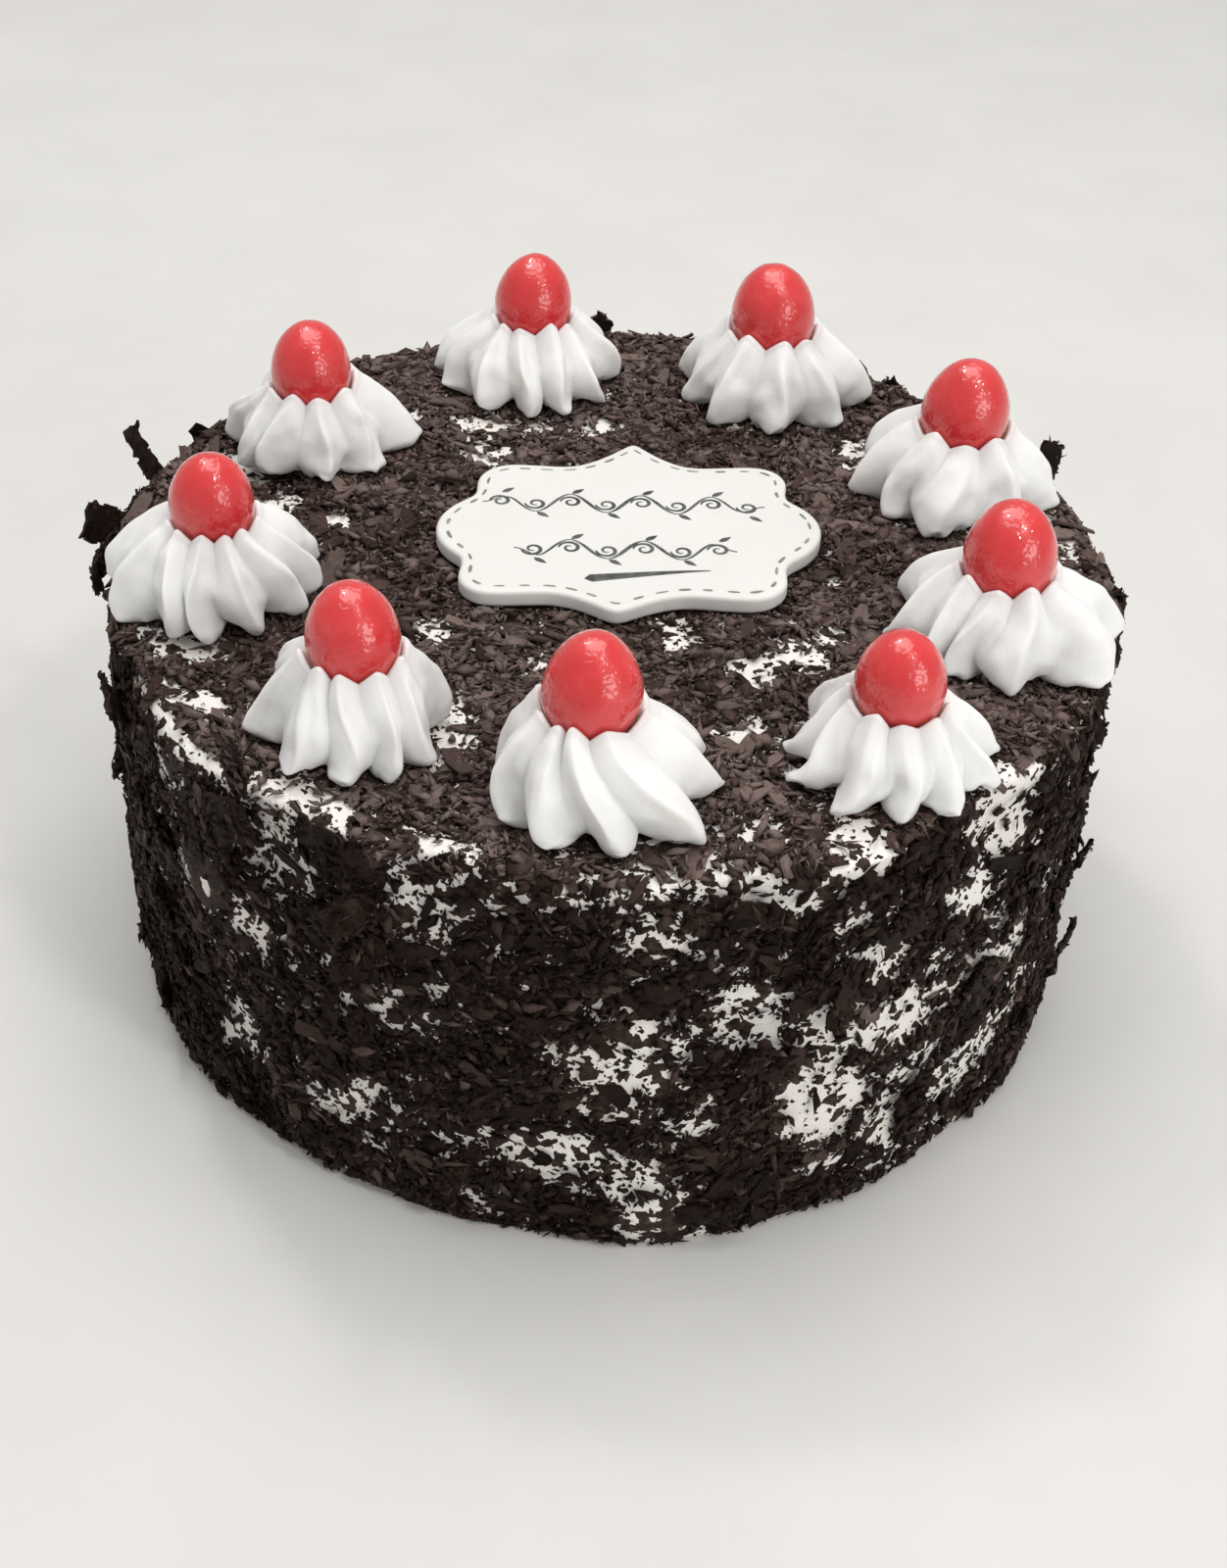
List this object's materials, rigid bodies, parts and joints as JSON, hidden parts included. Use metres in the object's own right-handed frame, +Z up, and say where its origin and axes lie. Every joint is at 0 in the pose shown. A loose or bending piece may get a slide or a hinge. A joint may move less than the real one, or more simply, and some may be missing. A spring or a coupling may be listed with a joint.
{
  "type": "black forest cake",
  "caption": "Round whole cake coated in cream and dark chocolate shavings, with a ring of piped cream rosettes, each holding a glazed cherry, and a scalloped sugar plaque on top.",
  "frame": {"origin": "centre of the cake's flat base", "axes": "+Z up out of the cake's top; the front, from which the plaque is upright, faces -Y; +X to the right seen from the front"},
  "size_m": [0.2044, 0.1986, 0.1187],
  "materials": {
    "chocolate": "dark chocolate shavings pressed on cream, dull with soft glints",
    "cream": "soft white whipped cream, satin",
    "cherry": "glazed red cherry, glossy and slightly clear",
    "sugar": "ivory sugar paste, smooth and matt"
  },
  "bodies": {
    "root": {"cake": "chocolate", "rosette_1": "cream", "rosette_2": "cream", "rosette_3": "cream", "rosette_4": "cream", "rosette_5": "cream", "rosette_6": "cream", "rosette_7": "cream", "rosette_8": "cream", "rosette_9": "cream", "cherry_1": "cherry", "cherry_2": "cherry", "cherry_3": "cherry", "cherry_4": "cherry", "cherry_5": "cherry", "cherry_6": "cherry", "cherry_7": "cherry", "cherry_8": "cherry", "cherry_9": "cherry", "plaque": "sugar"}
  },
  "joints": []
}
